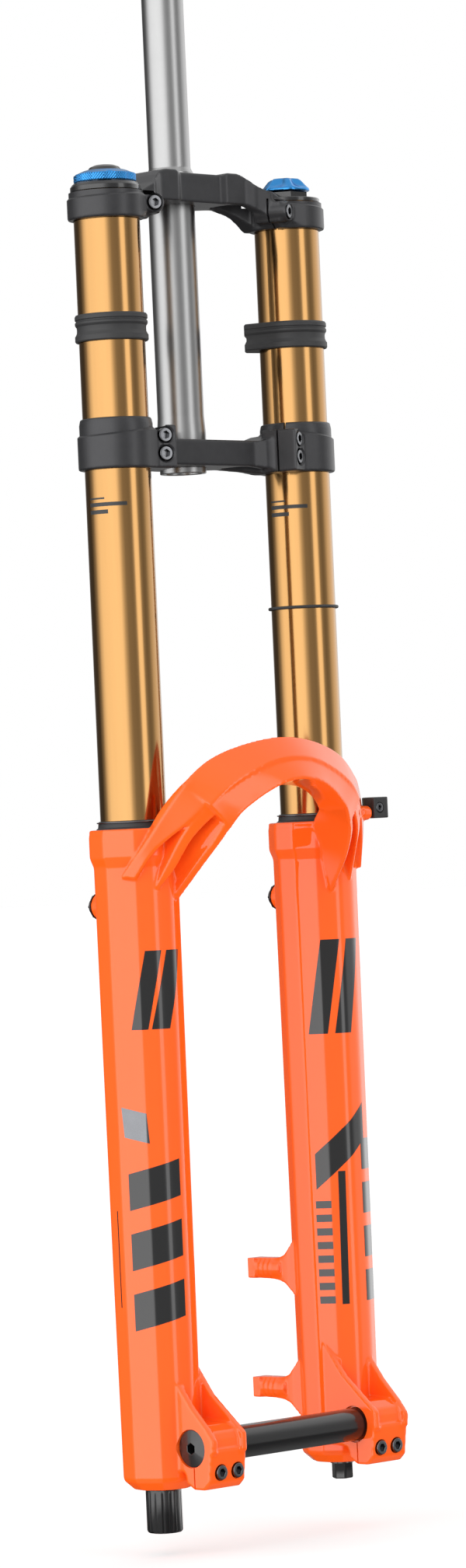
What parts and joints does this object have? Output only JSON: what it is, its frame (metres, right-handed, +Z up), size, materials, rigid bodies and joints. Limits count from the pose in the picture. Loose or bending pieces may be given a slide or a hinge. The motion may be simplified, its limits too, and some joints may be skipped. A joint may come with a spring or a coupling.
{
  "type": "suspension fork",
  "caption": "Dual-crown bicycle suspension fork: steerer, two black crowns, gold stanchions, orange lower legs with a front arch, through-axle and brake tabs.",
  "frame": {"origin": "centre of the crown-race seat on top of the lower crown, on the steerer axis", "axes": "+Z up the steerer; the fork's front faces -Y; the rider's left leg, with the brake tabs, is at +X"},
  "size_m": [0.21, 0.127, 0.9588],
  "materials": {
    "orange_paint": "gloss orange paint over cast magnesium",
    "gold_anodised": "polished gold anodising",
    "black_anodised": "satin black anodising",
    "brushed_alloy": "fine brushed",
    "blue_anodised": "glossy blue anodising",
    "gloss_black": "gloss black anodising",
    "rubber": "matt",
    "steel": "dark zinc plate",
    "plain_alloy": "machined",
    "brass": "machined",
    "foam": "open-cell foam",
    "black_plastic": "matt moulded"
  },
  "bodies": {
    "uppers": {"air_seal_head": "plain_alloy", "air_top_cap": "gloss_black", "air_valve": "brass", "base_valve": "brass", "damper_cartridge": "plain_alloy", "damper_seal_head": "plain_alloy", "damper_top_cap": "gloss_black", "frame_bumper_left": "rubber", "frame_bumper_right": "rubber", "lower_crown": "black_anodised", "lower_crown_bolt_left_high": "steel", "lower_crown_bolt_left_low": "steel", "lower_crown_bolt_right_high": "steel", "lower_crown_bolt_right_low": "steel", "stanchion_left": "gold_anodised", "stanchion_right": "gold_anodised", "steerer_clamp_bolt": "steel", "steerer_tube": "brushed_alloy", "upper_crown": "black_anodised", "upper_crown_bolt_left": "steel", "upper_crown_bolt_right": "steel", "volume_spacer": "black_plastic"},
    "lowers": {"lower_legs": "orange_paint", "axle": "gloss_black", "hose_guide": "black_plastic", "hose_guide_bolt": "steel", "damper_rod": "steel", "damper_piston": "brass", "foot_nut": "gloss_black", "air_shaft": "steel", "air_piston": "plain_alloy", "top_out_bumper": "rubber", "bottom_out_bumper": "rubber", "air_foot_bolt": "gloss_black", "wiper_seal_right": "rubber", "wiper_seal_left": "rubber", "wiper_spring_right": "steel", "wiper_spring_left": "steel", "foam_ring_right": "foam", "foam_ring_left": "foam", "upper_bushing_right": "plain_alloy", "upper_bushing_left": "plain_alloy", "lower_bushing_right": "plain_alloy", "lower_bushing_left": "plain_alloy", "bleeder_body_right": "gloss_black", "bleeder_body_left": "gloss_black", "dropout_bolt_left_inner": "steel", "dropout_bolt_left_outer": "steel", "dropout_bolt_right_inner": "steel", "dropout_bolt_right_outer": "steel"},
    "travel_ring": {"travel_o_ring": "rubber"},
    "high_speed_knob": {"high_speed_compression_knob": "blue_anodised"},
    "low_speed_dial": {"low_speed_compression_dial": "gloss_black"},
    "valve_cap": {"air_valve_cap": "blue_anodised"},
    "low_rebound": {"low_speed_rebound_knob": "gloss_black", "rebound_metering_rod": "plain_alloy"},
    "high_rebound": {"high_speed_rebound_knob": "blue_anodised"},
    "rebound_cover": {"rebound_cap": "gloss_black"},
    "bleeder_right": {"bleeder_button_right": "steel"},
    "bleeder_left": {"bleeder_button_left": "steel"}
  },
  "joints": [
    {"name": "travel", "type": "slide", "parent": "uppers", "child": "lowers", "axis": [0, 0, 1], "range_m": [0, 0.203]},
    {"name": "travel_ring_slide", "type": "slide", "parent": "uppers", "child": "travel_ring", "axis": [0, 0, 1], "range_m": [0, 0.0792]},
    {"name": "high_speed_compression", "type": "hinge", "parent": "uppers", "child": "high_speed_knob", "pos_m": [-0.077, -0.0226, 0.158], "axis": [0, 0, 1], "range_deg": [-90, 90]},
    {"name": "low_speed_compression", "type": "hinge", "parent": "uppers", "child": "low_speed_dial", "pos_m": [-0.077, -0.0226, 0.162], "axis": [0, 0, 1], "range_deg": [-135, 135]},
    {"name": "valve_cap_turn", "type": "hinge", "parent": "uppers", "child": "valve_cap", "pos_m": [0.077, -0.0226, 0.158], "axis": [0, 0, 1], "range_deg": [0, 360]},
    {"name": "low_speed_rebound", "type": "hinge", "parent": "lowers", "child": "low_rebound", "pos_m": [-0.077, -0.0226, -0.648], "axis": [0, 0, 1], "range_deg": [-135, 135]},
    {"name": "high_speed_rebound", "type": "hinge", "parent": "lowers", "child": "high_rebound", "pos_m": [-0.077, -0.0226, -0.642], "axis": [0, 0, 1], "range_deg": [-90, 90]},
    {"name": "rebound_cover_turn", "type": "hinge", "parent": "lowers", "child": "rebound_cover", "pos_m": [-0.077, -0.0226, -0.65], "axis": [0, 0, 1], "range_deg": [0, 360]},
    {"name": "bleed_right", "type": "slide", "parent": "lowers", "child": "bleeder_right", "axis": [0, -1, 0], "range_m": [0, 0.0015]},
    {"name": "bleed_left", "type": "slide", "parent": "lowers", "child": "bleeder_left", "axis": [0, -1, 0], "range_m": [0, 0.0015]}
  ],
  "couplings": [
    {"joint": "travel_ring_slide", "follows": "travel", "ratio": 0.39}
  ]
}
